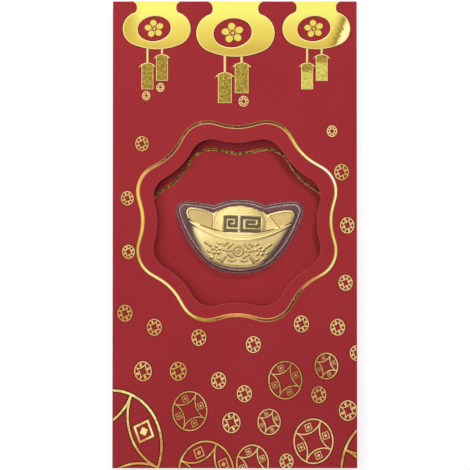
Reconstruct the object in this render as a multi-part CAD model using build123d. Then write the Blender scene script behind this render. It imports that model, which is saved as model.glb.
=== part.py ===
from build123d import *
import math
import os

# Red gift envelope: a flat money pocket with a flap, and in front of it a sleeve with a lobed
# window, from which a card slides that carries a gilt ingot under a clear blister.
# It lies on its back: +Z out of the printed front, +Y towards the mouth, +X to the right.
# The origin is in the middle of the underside. Sizes are in millimetres and degrees.

# Stock
card = 0.35
foil = 0.05

# Packet
packet_width = 89.0
packet_height = 170.0
fold_radius = 0.25
glue_tab_width = 8.0
glue_tab_taper = 5.0

# Money pocket and flap
flap_gap = 0.1
seam_tab_width = 9.0
seam_tab_taper = 4.0
throat_width = 62.0
throat_depth = 7.0
mouth_drop = 0.5
flap_length = 38.0
flap_inset = 1.0
flap_taper = 7.0
flap_corner = 9.0
gum_length = 58.0
gum_width = 7.0
gum_margin = 6.0

# Artwork: drawn for a packet of this size, and scaled to fit the packet
art_width = 89.0
art_height = 170.0

# Window and the stamped line round it: corners of a lobed star, rounded
lobe_count = 8
window_x = 0.8
window_y = 4.2
window_notch = 28.5
window_lobe = 34.1
window_notch_round = 24.0
window_lobe_round = 8.0
border_x = 0.77
border_y = 4.8
border_notch = 33.55
border_lobe = 40.85
border_notch_round = 20.0
border_lobe_round = 10.2
border_line = 1.3

# Insert card, blister and ingot
insert_card = 0.5
thumb_room = 13.35
insert_side_play = 0.7
insert_shift = 0.5
insert_end_play = 0.3
insert_corner = 3.0
slide_gap = 0.1
art_x = 1.75
line_y = -2.4
line_notch = 31.65
line_lobe = 37.9
line_notch_round = 19.0
line_lobe_round = 9.6
line_width = 1.1
blister_y = -0.8
blister_side_room = 3.15
blister_end_room = 1.9
blister_wall = 0.25
dome_height = 4.2
dome_draft = 0.9
dome_round = 0.8
dome_gap = 0.3
hole_gap = 0.2
flange_margin = 6.0
flange_corner = 4.0
backing_card = 0.4
ingot_x = 2.0
ingot_y = -1.05
ingot_width = 39.8
ingot_height = 23.4
ingot_tilt = -1.8
ingot_plate = 1.7
ingot_wall = 0.3
hull_depth = 4.1
hull_swell = 38.0
mound_radius = 20.0
mound_depth = 4.3
mound_y = 5.0
rim_width = 2.1
rim_stand = 0.4
wing_dish_length = 9.0
wing_dish_width = 4.6
wing_dish_tilt = 12.0
wing_dish_depth = 0.5
hollow_margin = 2.5

# Lanterns, measured on a side lantern; the middle one is larger
lantern_width = 24.9
lantern_drop = 17.6
lantern_left_x = -28.5
lantern_centre_x = 0.25
lantern_right_x = 29.75
centre_scale_share = 1.155
emblem_width = 11.9
emblem_height = 9.0
emblem_x = -0.9
emblem_drop = 10.0
emblem_tilt = 8.0
cord_line = 0.8
cord_overlap = 1.5
long_cord_x = -3.35
long_cord_drop = 22.4
short_cord_x = 1.95
short_cord_drop = 19.3
cap_width = 6.6
cap_droop = 1.9
cap_arch = 1.0
strip_width = 4.4
tassel_length = 9.8

# Cash coins, drawn a little narrower than tall: small ones a disc round a square hole, large
# ones a rim line round a square line
coin_aspect_share = 0.88
coin_line = 0.36
coin_line_share = 0.038
coin_turn = 67.5
line_coin_radius = 6.0
small_coin_sides = 12
large_coin_sides = 20

# Shares of the outlines. Ingot and blister: half width and half height, as arcs from the notch
# beside the mound over the wing, round its tip, down the hull and round its foot. Lantern: half
# width and drop, as arcs for the neck and for the side.
INGOT_SHARES = (((0.49, 0.744), (0.71, 0.872), (0.92, 0.905)),
                ((0.92, 0.905), (0.985, 0.79), (0.975, 0.63)),
                ((0.975, 0.63), (0.80, 0.0), (0.54, -0.63)),
                ((0.54, -0.63), (0.42, -0.815), (0.26, -0.94)))
BLISTER_SHARES = (((0.403, 0.849), (0.62, 0.915), (0.87, 0.955)),
                  ((0.87, 0.955), (0.99, 0.815), (0.985, 0.57)),
                  ((0.985, 0.57), (0.82, 0.05), (0.60, -0.54)),
                  ((0.60, -0.54), (0.44, -0.79), (0.26, -0.93)))
RIM_END_SHARE = (0.95, 0.47)
RIM_SAG_SHARE = 0.085
COIN_HOLE_SHARE = 0.5
WING_DISH_SHARE = (0.745, 0.70)
HOLLOW_SHARES = ((0.92, 0.42), (0.5, -0.55), (0.3, -0.8))
LANTERN_NECK_SHARES = ((0.745, 0.0), (0.585, 0.130), (0.64, 0.227))
LANTERN_SIDE_SHARES = ((0.64, 0.227), (1.0, 0.589), (0.725, 0.890))

# Coins, each as shares: across the width and up the height from the packet's middle, and the
# half height of the coin in widths of the artwork
COIN_SHARES = (
    (-0.363, 0.297, 0.0205), (-0.305, 0.315, 0.0205), (0.036, 0.285, 0.0245),
    (-0.380, 0.194, 0.0325), (-0.440, 0.077, 0.031), (0.398, 0.221, 0.0255),
    (0.437, 0.133, 0.035), (0.460, 0.019, 0.0345), (-0.435, -0.038, 0.0305),
    (0.453, -0.104, 0.034), (-0.449, -0.169, 0.036), (-0.329, -0.199, 0.036),
    (-0.147, -0.221, 0.0355), (0.272, -0.192, 0.036), (0.420, -0.199, 0.0355),
    (0.076, -0.236, 0.036), (0.498, -0.254, 0.0335), (-0.375, -0.293, 0.042),
    (-0.231, -0.293, 0.040), (-0.066, -0.313, 0.036), (0.039, -0.341, 0.036),
    (0.206, -0.312, 0.080), (0.374, -0.282, 0.056), (0.343, -0.343, 0.036),
    (0.462, -0.377, 0.0434), (0.140, -0.401, 0.055), (-0.184, -0.378, 0.083),
    (-0.014, -0.403, 0.0434), (0.321, -0.4425, 0.094), (-0.117, -0.509, 0.131),
    (0.072, -0.489, 0.077), (0.211, -0.4855, 0.0335), (-0.499, -0.453, 0.233),
    (0.635, -0.506, 0.233),
)

# Heights of the layers, from the flap's outer face to the printed front
back_z = card + flap_gap
seam_z = back_z + card
divider_z = seam_z + card
glue_tab_z = divider_z + card
gusset_z = glue_tab_z + card
backing_z = gusset_z + slide_gap
flange_z = backing_z + backing_card
insert_z = flange_z + blister_wall
insert_face_z = insert_z + insert_card
dome_top_z = insert_face_z + dome_height
front_z = dome_top_z + dome_gap
front_face_z = front_z + card

# Edges shared by several pieces
half_width = packet_width / 2
half_height = packet_height / 2
crease_y = half_height - card
insert_width = packet_width - 2 * card - 2 * insert_side_play
insert_bottom = card - half_height + insert_end_play
insert_length = half_height - thumb_room - insert_bottom
flap_width = packet_width - 2 * flap_inset
blister_width = ingot_width + 2 * blister_side_room
blister_height = ingot_height + 2 * blister_end_room
fit_share = min(packet_width / art_width, packet_height / art_height)


def save(shape, name):
    export_step(shape, f"parts/{name}.step")


def plate(face, thickness, z):
    return Pos(0, 0, z) * extrude(face, amount=thickness)


def block(x_low, x_high, y_low, y_high, z_low, z_high):
    """A flat card between its six edges."""
    sides = (x_high - x_low, y_high - y_low, z_high - z_low)
    return Pos(x_low, y_low, z_low) * Box(*sides, align=(Align.MIN, Align.MIN, Align.MIN))


def on_packet(face, x, y):
    """A face of the artwork at its own scale, put where its point falls on the packet."""
    across = x * packet_width / art_width
    return Pos(across, y * packet_height / art_height) * scale(face, by=fit_share)


def tab_face(length, width, taper):
    """A glue tab along X that stands on y = 0, with its two outer corners cut back."""
    return make_face(Polyline((-length / 2, 0), (length / 2, 0), (length / 2 - taper, width),
                              (taper - length / 2, width), close=True))


def lobed_face(notch, lobe, notch_round, lobe_round, grow=0):
    """The wavy outline: corners by turns on two circles, then rounded."""
    step = math.pi / lobe_count
    corners = []
    for index in range(2 * lobe_count):
        radius = lobe if index % 2 else notch
        corners.append((radius * math.cos(index * step), radius * math.sin(index * step)))

    def reach(corner):
        return math.hypot(corner.X, corner.Y)

    star = make_face(Polyline(*corners, close=True))
    star = fillet(sorted(star.vertices(), key=reach)[lobe_count:], lobe_round)
    star = fillet(sorted(star.vertices(), key=reach)[:lobe_count], notch_round)
    return offset(star, amount=grow, kind=Kind.ARC) if grow else star


def lobed_line(notch, lobe, notch_round, lobe_round, width):
    outer = lobed_face(notch, lobe, notch_round, lobe_round, width / 2)
    return outer - lobed_face(notch, lobe, notch_round, lobe_round, -width / 2)


def oval_face(across, up):
    """An oval of four arcs, through points an eighth of a turn apart."""

    def point(eighth):
        turn = eighth * math.pi / 4
        return across * math.cos(turn), up * math.sin(turn)

    sides = [ThreePointArc(point(k - 1), point(k), point(k + 1)) for k in (0, 2, 4, 6)]
    return make_face(Wire(sides).edges())


def boat_face(width, height, shares, inset=0):
    """The ingot's outline seen from the front: mound, two wings and hull."""
    across = width / 2 - inset
    up = height / 2 - inset

    def arc(side, points):
        return ThreePointArc(*[(side * x * across, y * up) for x, y in points])

    sides = [arc(side, points) for side in (-1, 1) for points in shares]
    notch_x, notch_y = shares[0][0]
    foot_x, foot_y = shares[-1][-1]
    mound = arc(1, ((-notch_x, notch_y), (0, 1), (notch_x, notch_y)))
    foot = arc(1, ((-foot_x, foot_y), (0, -1), (foot_x, foot_y)))
    return make_face(Wire([mound, foot, *sides]).edges())


def front_panel():
    sheet = plate(Rectangle(packet_width, packet_height), card, front_z)
    folds = sheet.faces().sort_by(Axis.Z)[-1].edges().filter_by(Axis.Y)
    sheet = fillet(folds, fold_radius)
    window = lobed_face(window_notch, window_lobe, window_notch_round, window_lobe_round)
    return sheet - plate(on_packet(window, window_x, window_y), card, front_z)


def side_wall(side):
    """A gusset with its glue tab, on the left (-1) or the right (1)."""
    edges = sorted((side * half_width, side * (half_width - card)))
    wall = block(*edges, -half_height, half_height, gusset_z, front_z)
    tab = tab_face(packet_height, glue_tab_width, glue_tab_taper)
    tab = Pos(side * half_width, 0) * Rot(0, 0, side * 90) * tab
    return wall, plate(tab, card, glue_tab_z)


def bottom_wall():
    inside = half_width - card
    wall = block(-inside, inside, -half_height, card - half_height, gusset_z, front_z)
    reach = packet_width - 2 * glue_tab_width
    tab = Pos(0, -half_height) * tab_face(reach, glue_tab_width, glue_tab_taper)
    return wall, plate(tab, card, glue_tab_z)


def back_panel():
    """Outer wall of the money pocket, its mouth cut to a shallow curved throat."""
    top = crease_y - mouth_drop
    half_throat = throat_width / 2
    throat = ThreePointArc((half_throat, top), (0, top - throat_depth), (-half_throat, top))
    rest = Polyline((-half_throat, top), (-half_width, top), (-half_width, -half_height),
                    (half_width, -half_height), (half_width, top), (half_throat, top))
    return plate(make_face(Wire([*throat.edges(), *rest.edges()]).edges()), card, back_z)


def seam_tab(side):
    tall = packet_height - card - mouth_drop
    tab = tab_face(tall, seam_tab_width, seam_tab_taper)
    middle = tall / 2 - half_height
    return plate(Pos(side * half_width, middle) * Rot(0, 0, side * 90) * tab, card, seam_z)


def bottom_seam_tab():
    reach = packet_width - 2 * seam_tab_width
    tab = tab_face(reach, seam_tab_width, seam_tab_taper)
    return plate(Pos(0, -half_height) * tab, card, seam_z)


def top_flap():
    face = Pos(0, half_height) * Rot(0, 0, 180) * tab_face(flap_width, flap_length, flap_taper)
    free = face.vertices().group_by(Axis.Y)[0]
    return plate(fillet(free, flap_corner), card, 0)


def gum_strip():
    strip = SlotOverall(gum_length, gum_width)
    return plate(Pos(0, half_height - flap_length + gum_margin + gum_width / 2) * strip, foil, card)


def stamp(face):
    """Foil on the printed front, trimmed where it runs off the panel."""
    sheet = Rectangle(packet_width - 2 * fold_radius, packet_height)
    return plate(face & sheet, foil, front_face_z)


def lantern_face():
    """A lantern that hangs from y = 0: neck, round body and an oval field left open."""

    def arc(side, points):
        return ThreePointArc(*[(side * x * lantern_width / 2, -y * lantern_drop) for x, y in points])

    neck_x, neck_y = LANTERN_NECK_SHARES[0]
    foot_x, foot_y = LANTERN_SIDE_SHARES[-1]
    half_neck = neck_x * lantern_width / 2
    outline = [Line((-half_neck, -neck_y), (half_neck, -neck_y)),
               arc(1, ((-foot_x, foot_y), (0, 1), (foot_x, foot_y)))]
    for side in (-1, 1):
        outline += [arc(side, LANTERN_NECK_SHARES), arc(side, LANTERN_SIDE_SHARES)]
    field = Rot(0, 0, emblem_tilt) * oval_face(emblem_width / 2, emblem_height / 2)
    return make_face(Wire(outline).edges()) - Pos(emblem_x, -emblem_drop) * field


def tassel_face(cord_x, cord_drop):
    """One tassel under a lantern: cord, drooping cap and strip."""
    cap_half = cap_width / 2
    droop = cord_drop + cap_droop
    dome = ThreePointArc((cord_x - cap_half, -droop), (cord_x, -cord_drop),
                         (cord_x + cap_half, -droop))
    arch = ThreePointArc((cord_x + cap_half, -droop), (cord_x, -cord_drop - cap_arch),
                         (cord_x - cap_half, -droop))
    cap = make_face(Wire([dome, arch]).edges())
    strip_bottom = cord_drop + tassel_length
    strip_top = cord_drop + cap_arch / 2
    strip = Pos(cord_x, -(strip_top + strip_bottom) / 2) * Rectangle(
        strip_width, strip_bottom - strip_top)
    cord_top = lantern_drop - cord_overlap
    cord = Pos(cord_x, -(cord_top + droop) / 2) * Rectangle(cord_line, droop - cord_top)
    return cap + strip + cord


def lantern(x, size_share):
    """The foil of one lantern and the foil of its two tassels."""
    body = lantern_face()
    tassels = tassel_face(long_cord_x, long_cord_drop) + tassel_face(short_cord_x, short_cord_drop)
    faces = (body, tassels - body)
    return [stamp(on_packet(scale(face, by=size_share), x, art_height / 2)) for face in faces]


def coin_face(radius):
    """A cash coin: a round rim and a square middle that stands on one corner."""

    def even_sided(reach, sides, first_turn=0):
        turns = [math.radians(first_turn + index * 360 / sides) for index in range(sides)]
        points = [(reach * math.cos(t) * coin_aspect_share, reach * math.sin(t)) for t in turns]
        return make_face(Polyline(*points, close=True))

    def square(reach):
        return even_sided(reach, 4, coin_turn)

    if radius < line_coin_radius:
        return even_sided(radius, small_coin_sides) - square(radius * COIN_HOLE_SHARE)
    line = coin_line + coin_line_share * radius
    rim = even_sided(radius, large_coin_sides) - even_sided(radius - line, large_coin_sides)
    return rim + square(radius - line / 2) - square(radius - line / 2 - line * math.sqrt(2))


def coin_foils():
    solids = []
    for x_share, y_share, size_share in COIN_SHARES:
        coin = coin_face(size_share * art_width)
        solids.extend(stamp(on_packet(coin, x_share * art_width, y_share * art_height)).solids())
    return Compound(children=solids)


def insert():
    """The sliding card, low in its sleeve, with a hole for the blister."""
    middle = insert_bottom + insert_length / 2
    sheet = Pos(insert_shift, middle) * RectangleRounded(insert_width, insert_length, insert_corner)
    hole = boat_face(blister_width, blister_height, BLISTER_SHARES, -hole_gap)
    return plate(sheet - Pos(art_x, blister_y) * hole, insert_card, insert_z)


def insert_line():
    line = lobed_line(line_notch, line_lobe, line_notch_round, line_lobe_round, line_width)
    return plate(on_packet(line, art_x, line_y), foil, insert_face_z)


def dome_solid(inset):
    """The blister's dome, drawn in towards its top and rounded at the shoulder."""
    shoulder_z = dome_top_z - dome_round - inset
    levels = [(flange_z, inset)]
    for turn in (0, math.pi / 2):
        draw_in = dome_draft + dome_round * (1 - math.cos(turn))
        levels.append((shoulder_z + dome_round * math.sin(turn), inset + draw_in))
    sections = []
    for z, draw_in in levels:
        face = boat_face(blister_width, blister_height, BLISTER_SHARES, draw_in)
        sections.append(Pos(art_x, blister_y, z) * face)
    return loft(sections, ruled=True)


def flange_face(margin):
    width = blister_width + 2 * margin
    return Pos(art_x, blister_y) * RectangleRounded(
        width, blister_height + 2 * margin, flange_corner)


def blister():
    shell = dome_solid(0) + plate(flange_face(flange_margin), blister_wall, flange_z)
    return shell - dome_solid(blister_wall)


def rim_arc(drop=0):
    """The line from wing to wing between deck and hull, lowered by drop in the middle."""
    end_x = RIM_END_SHARE[0] * ingot_width / 2
    end_y = RIM_END_SHARE[1] * ingot_height / 2
    sag_y = RIM_SAG_SHARE * ingot_height / 2
    return ThreePointArc((-end_x, end_y), (0, sag_y - drop), (end_x, end_y))


def ingot_form():
    """Deck, hull below the rim and mound above it, pressed from one outline."""
    outline = boat_face(ingot_width, ingot_height, INGOT_SHARES)
    rim = rim_arc()
    left, sag, right = rim @ 0, rim @ 0.5, rim @ 1
    floor_y = -ingot_height
    sides = Polyline(right, (right.X, floor_y), (left.X, floor_y), left)
    below = make_face(Wire([*rim.edges(), *sides.edges()]).edges())
    hull = extrude(outline & below, amount=hull_depth)
    barrel = Rot(0, 90, 0) * Cylinder(hull_swell, ingot_width)
    hull &= Pos(0, sag.Y, hull_depth - hull_swell) * barrel
    ball = Pos(0, mound_y, mound_depth - mound_radius) * Rot(0, 90, 0) * Sphere(mound_radius)
    mound = extrude(outline, amount=mound_depth) & ball
    return extrude(outline, amount=ingot_plate) + hull + mound


def ingot_rim():
    """The raised edge that runs from wing to wing and is widest in the middle."""
    face = make_face(Wire([*rim_arc().edges(), *rim_arc(rim_width).edges()]).edges())
    return extrude(face, amount=hull_depth + rim_stand)


def wing_dish(side):
    """The shallow oval sunk into the top of one wing."""
    x = side * WING_DISH_SHARE[0] * ingot_width / 2
    y = WING_DISH_SHARE[1] * ingot_height / 2
    dish = extrude(oval_face(wing_dish_length / 2, wing_dish_width / 2), amount=wing_dish_depth)
    return Pos(x, y, ingot_plate - wing_dish_depth) * Rot(0, 0, side * wing_dish_tilt) * dish


def ingot():
    """The whole ingot, hollow behind as a pressed piece is."""
    form = ingot_form() + ingot_rim() - wing_dish(-1) - wing_dish(1)
    across = ingot_width / 2 - hollow_margin
    hollow = [(x * across, y * ingot_height / 2) for x, y in HOLLOW_SHARES]
    hollow += [(-x, y) for x, y in reversed(hollow)]
    form -= extrude(make_face(Polyline(*hollow, close=True)), amount=ingot_plate - ingot_wall)
    return Pos(ingot_x, ingot_y, flange_z) * Rot(0, 0, ingot_tilt) * form


save(front_panel(), "front_panel")
for side, name in ((-1, "left"), (1, "right")):
    wall, tab = side_wall(side)
    save(wall, f"{name}_gusset")
    save(tab, f"{name}_glue_tab")
    save(seam_tab(side), f"{name}_seam_tab")
wall, tab = bottom_wall()
save(wall, "bottom_gusset")
save(tab, "bottom_glue_tab")
save(bottom_seam_tab(), "bottom_seam_tab")
save(block(-half_width, half_width, -half_height, crease_y, divider_z, glue_tab_z), "divider_panel")
save(back_panel(), "back_panel")
save(block(-flap_width / 2, flap_width / 2, crease_y, half_height, card, glue_tab_z), "flap_spine")
save(top_flap(), "top_flap")
save(gum_strip(), "flap_gum_strip")

border = lobed_line(border_notch, border_lobe, border_notch_round, border_lobe_round, border_line)
save(stamp(on_packet(border, border_x, border_y)), "border_foil")
for name, x, size_share in (("left", lantern_left_x, 1), ("right", lantern_right_x, 1),
                            ("centre", lantern_centre_x, centre_scale_share)):
    body, tassels = lantern(x, size_share)
    save(body, f"lantern_foil_{name}")
    save(tassels, f"tassel_foil_{name}")
save(coin_foils(), "coin_foils")

save(insert(), "insert_card")
save(insert_line(), "insert_border_foil")
save(blister(), "blister")
save(plate(flange_face(flange_margin), backing_card, backing_z), "blister_backing")
save(ingot(), "ingot")
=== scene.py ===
"""Red gift envelope: card, stamped foil, gilt ingot and clear blister on the packed frame."""
import math

import bmesh
import bpy
import numpy as np
from bpy.props import FloatProperty, FloatVectorProperty, IntProperty, PointerProperty
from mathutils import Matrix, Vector
from mathutils.geometry import tessellate_polygon


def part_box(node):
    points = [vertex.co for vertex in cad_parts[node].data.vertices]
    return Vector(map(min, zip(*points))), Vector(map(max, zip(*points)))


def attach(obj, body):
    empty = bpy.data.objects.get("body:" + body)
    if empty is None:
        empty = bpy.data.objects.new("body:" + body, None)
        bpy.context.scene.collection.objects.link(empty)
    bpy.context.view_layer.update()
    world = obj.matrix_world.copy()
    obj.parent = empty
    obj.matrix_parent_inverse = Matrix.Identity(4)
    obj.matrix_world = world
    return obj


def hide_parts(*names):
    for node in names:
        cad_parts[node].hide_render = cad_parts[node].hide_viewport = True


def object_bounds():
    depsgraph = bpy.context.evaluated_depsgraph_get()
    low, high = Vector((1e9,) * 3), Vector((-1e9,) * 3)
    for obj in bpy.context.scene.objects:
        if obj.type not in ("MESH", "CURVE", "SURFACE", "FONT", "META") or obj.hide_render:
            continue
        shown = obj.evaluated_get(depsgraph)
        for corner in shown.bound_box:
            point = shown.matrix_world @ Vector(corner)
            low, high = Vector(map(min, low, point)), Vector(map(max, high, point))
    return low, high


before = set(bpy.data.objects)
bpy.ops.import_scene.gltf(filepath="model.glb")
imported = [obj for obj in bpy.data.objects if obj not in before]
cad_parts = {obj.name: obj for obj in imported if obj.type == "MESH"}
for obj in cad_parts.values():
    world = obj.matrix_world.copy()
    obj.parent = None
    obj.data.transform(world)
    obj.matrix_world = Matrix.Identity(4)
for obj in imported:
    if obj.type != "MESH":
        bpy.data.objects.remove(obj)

bl_info = {
    "name": "Red gift envelope",
    "version": (1, 0, 0),
    "blender": (4, 5, 0),
    "location": "View3D > Sidebar > Envelope",
    "description": "Dresses a windowed gift envelope with card, foil, an ingot and a blister",
    "category": "Add Mesh",
}

MM = 0.001
NEAR = 0.001 * MM  # points nearer than this are one
SHARPEST = 0.3  # keeps an outline's sharp corners from shooting out when it is moved
CAD_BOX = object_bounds()


def box_mm(node):
    """Lowest and highest corner of a CAD node, in millimetres."""
    low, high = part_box(node)
    return np.array(low) / MM, np.array(high) / MM


# Lengths are in millimetres and turns in degrees, unless a line says otherwise

FRONT_LOW, FRONT_HIGH = box_mm("front_panel")
BLISTER_LOW, BLISTER_HIGH = box_mm("blister")
INSERT_FACE, BOARD_FACE = box_mm("insert_card")[1][2], box_mm("blister_backing")[1][2]
FOIL_LOW, FOIL_HIGH = FRONT_HIGH[2], box_mm("border_foil")[1][2]

# Card: how far wear reaches in from the edges and folds, and the rounding of a cut as shares
FOLD_LOW, FOLD_HIGH = box_mm("back_panel")[0][2], FRONT_HIGH[2]
WORN_ACROSS, WORN_UP, WORN_FOLD = 0.45, 0.4, 0.5
CUT_ROUNDING = ((1, 0), (0.3, 0.3), (0, 1))

# Wavy lines: radius of the corners at notches and lobes, and the rounding of each
LOBES, LOBE_STEPS = 8, 14
WINDOW, WINDOW_CENTRE = (28.5, 34.1, 24.0, 8.0), (0.8, 4.2)
BORDER, BORDER_LINE, BORDER_EDGE = (33.55, 40.85, 20.0, 10.2), 0.80, 0.25
INSERT_BORDER, INSERT_LINE, INSERT_EDGE = (31.65, 37.9, 19.0, 9.6), 0.74, 0.18

# Lanterns: middle and size of each, and the level of the painted gleam on its tassels
LANTERNS = (("left", -28.5, 1.0, 0.0), ("centre", 0.25, 1.155, 0.12), ("right", 29.75, 1.0, 0.72))
LANTERN_DROP, GLEAM_SLANT = 11, 0.42
TASSEL_FIRST, TASSEL_APART, TASSEL_LIFT, TASSEL_WIDTH = -3.35, 5.3, 3.1, 4.3
CAP_TOP, CAP_FOOT = (22.3, 22.7), (24.9, 26.2)
LEAVES = (  # roughness, then the pressed edge: how far it stands out, and where its line lies
    ("lantern", None, (0.18, 0.10, 0.44)), ("tassel", 0.42, (0.10, 0.05, 0.25)))
LEAF_STEP, TOP_ROOM, SOFT_EDGE = 0.015, 0.6, 0.02
EMBLEM_SHIFT, EMBLEM_TILT, EMBLEM_FLAT, PETALS = (-0.9, -10.0), 8.0, 0.92, 5
EDGE_ROUGHNESS = 0.5

# Coins: across the width and up the height as shares, and half height in packet widths
COIN_ASPECT = 0.88
COIN_TURN = 67.5
COIN_MARGIN, COIN_LAYER, MARK_EDGE, SIDE_MARGIN = 0.11, 0.003, 0.08, 0.25
MARKED_RADIUS, LARGE_RADIUS = 4.2, 9
COIN_STEPS, COIN_STEPS_LEAST, COIN_STEPS_MOST, ARC_STEPS_LEAST = 9, 36, 160, 12
COINS = (
    (-0.363, 0.297, 0.0205), (-0.305, 0.315, 0.0205), (0.036, 0.285, 0.0245),
    (-0.380, 0.194, 0.0325), (-0.440, 0.077, 0.031), (0.398, 0.221, 0.0255),
    (0.437, 0.133, 0.035), (0.460, 0.019, 0.0345), (-0.435, -0.038, 0.0305),
    (0.453, -0.104, 0.034), (-0.449, -0.169, 0.036), (-0.329, -0.199, 0.036),
    (-0.147, -0.221, 0.0355), (0.272, -0.192, 0.036), (0.420, -0.199, 0.0355),
    (0.076, -0.236, 0.036), (0.498, -0.254, 0.0335), (-0.375, -0.293, 0.042),
    (-0.231, -0.293, 0.040), (-0.066, -0.313, 0.036), (0.039, -0.341, 0.036),
    (0.206, -0.312, 0.080), (0.374, -0.282, 0.056), (0.343, -0.343, 0.036),
    (0.462, -0.377, 0.0434), (0.140, -0.401, 0.055), (-0.184, -0.378, 0.083),
    (-0.014, -0.403, 0.0434), (0.321, -0.4425, 0.094), (-0.117, -0.509, 0.131),
    (0.072, -0.489, 0.077), (0.211, -0.4855, 0.0335), (-0.499, -0.453, 0.233),
    (0.635, -0.506, 0.233),
)

# Ingot and blister: arcs from the notch beside the mound over the wing to the foot, as shares
INGOT_SHARES = (((0.49, 0.744), (0.71, 0.872), (0.92, 0.905)),
                ((0.92, 0.905), (0.985, 0.79), (0.975, 0.63)),
                ((0.975, 0.63), (0.836, 0.02), (0.60, -0.63)),
                ((0.60, -0.63), (0.47, -0.82), (0.27, -0.95)))
BLISTER_SHARES = (((0.403, 0.849), (0.62, 0.915), (0.87, 0.955)),
                  ((0.87, 0.955), (0.99, 0.815), (0.99, 0.54)),
                  ((0.99, 0.54), (0.86, 0.02), (0.61, -0.58)),
                  ((0.61, -0.58), (0.45, -0.81), (0.26, -0.94)))
INGOT_SIZE, INGOT_PLACE, INGOT_TILT = (40.4, 23.4), (1.75, -1.05), -1.8
HULL_LEAN, HULL_LEAN_TOP, HULL_LEAN_FOOT = 0.8, (-5.5, 0), (8.5, 11.7)
BLISTER_SIZE, BLISTER_PLACE, BLISTER_PLAY = (46.1, 27.2), (1.75, -0.8), 0.12
BLISTER_STEPS, INGOT_STEPS, CORNER_STEPS = 26, 60, 10
FLANGE_CORNER, FLANGE_STEPS = 4.0, 8
# Blister wall: height above the card and spread of the painted highlight line at its foot, depth
# below the top and spread of the one at its top bend, and spread of the painted highlight at the
# right tip
FOOT_LINE, FOOT_SPREAD, BEND_LINE, BEND_SPREAD, TIP_SPREAD = 0.30, 0.7, 0.24, 0.17, 9


# Outlines

def on_circle(turns):
    """Points of a circle of radius 1, at turns in radians."""
    return np.stack([np.cos(turns), np.sin(turns)], axis=-1)


def ring(across, up, count, first=0.0):
    """Points round an oval, the first at a turn given in degrees."""
    return on_circle(np.radians(first) + np.arange(count) * math.tau / count) * (across, up)


def rectangle(low, high):
    """Corners of a rectangle, anticlockwise."""
    return np.array([(low[0], low[1]), (high[0], low[1]), (high[0], high[1]), (low[0], high[1])])


def turned(points, degrees):
    """Points turned about the origin."""
    c, s = on_circle(math.radians(degrees))
    return np.asarray(points) @ np.array([[c, s], [-s, c]])


def arc_through(first, middle, last, count):
    """Points of the arc from first through middle towards last, without last."""
    (ax, ay), (bx, by), (cx, cy) = first, middle, last
    a2, b2, c2 = ax * ax + ay * ay, bx * bx + by * by, cx * cx + cy * cy
    d = 2 * (ax * (by - cy) + bx * (cy - ay) + cx * (ay - by))
    x = (a2 * (by - cy) + b2 * (cy - ay) + c2 * (ay - by)) / d
    y = (a2 * (cx - bx) + b2 * (ax - cx) + c2 * (bx - ax)) / d
    start = math.atan2(ay - y, ax - x)
    through = (math.atan2(by - y, bx - x) - start) % math.tau
    sweep = (math.atan2(cy - y, cx - x) - start) % math.tau
    if through > sweep:
        sweep -= math.tau
    turns = start + sweep * np.arange(count) / count
    return (x, y) + math.hypot(ax - x, ay - y) * on_circle(turns)


def boat(size, shares, count):
    """The outline with mound, two wings and hull, anticlockwise from the foot on the right."""
    across, up = size[0] / 2, size[1] / 2

    def arc(side, points):
        return arc_through(*[(side * x * across, y * up) for x, y in points], count)

    notch_x, notch_y = shares[0][0]
    foot_x, foot_y = shares[-1][-1]
    runs = [arc(1, points[::-1]) for points in reversed(shares)]
    runs.append(arc(1, ((notch_x, notch_y), (0, 1), (-notch_x, notch_y))))
    runs += [arc(-1, points) for points in shares]
    runs.append(arc(1, ((-foot_x, foot_y), (0, -1), (foot_x, foot_y))))
    return np.concatenate(runs)


def rounded(corners, radii, count):
    """A closed outline with each corner replaced by an arc."""
    runs = []
    for index, (corner, radius) in enumerate(zip(corners, radii)):
        back, on = corners[index - 1] - corner, corners[(index + 1) % len(corners)] - corner
        back, on = back / np.linalg.norm(back), on / np.linalg.norm(on)
        half = math.acos(np.clip(back @ on, -1, 1)) / 2
        middle = (back + on) / np.linalg.norm(back + on)
        centre = corner + middle * radius / math.sin(half)
        reach = radius / math.tan(half)
        start, end = corner + back * reach - centre, corner + on * reach - centre
        first = math.atan2(start[1], start[0])
        sweep = (math.atan2(end[1], end[0]) - first + math.pi) % math.tau - math.pi
        runs.append(centre + radius * on_circle(first + sweep * np.arange(count + 1) / count))
    return np.concatenate(runs)


def lobed(notch, lobe, notch_round, lobe_round):
    """The wavy outline of the window."""
    corners = on_circle(math.pi * np.arange(2 * LOBES) / LOBES)
    return rounded(corners * np.tile((notch, lobe), LOBES)[:, None],
                   (notch_round, lobe_round) * LOBES, LOBE_STEPS)


def drawn_in(points, amount):
    """An outline moved into its own material; a hole runs clockwise."""
    before = points - np.roll(points, 1, axis=0)
    after = np.roll(points, -1, axis=0) - points
    normals = []
    for run in (before, after):
        run = run / np.maximum(np.linalg.norm(run, axis=1, keepdims=True), 1e-9)
        normals.append(np.stack([run[:, 1], -run[:, 0]], axis=1))
    corner = 1 + np.sum(normals[0] * normals[1], axis=1, keepdims=True)
    return points - amount * (normals[0] + normals[1]) / np.maximum(corner, SHARPEST)


def drawn_in_below(points, amount):
    """An outline moved into its own material, except close to the top edge of the card."""
    room = np.clip((FRONT_HIGH[1] - points[:, 1:]) / TOP_ROOM, 0, 1)
    moved = drawn_in(points, amount)
    moved[:, 1:] = points[:, 1:] + (moved[:, 1:] - points[:, 1:]) * room
    return moved


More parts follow.
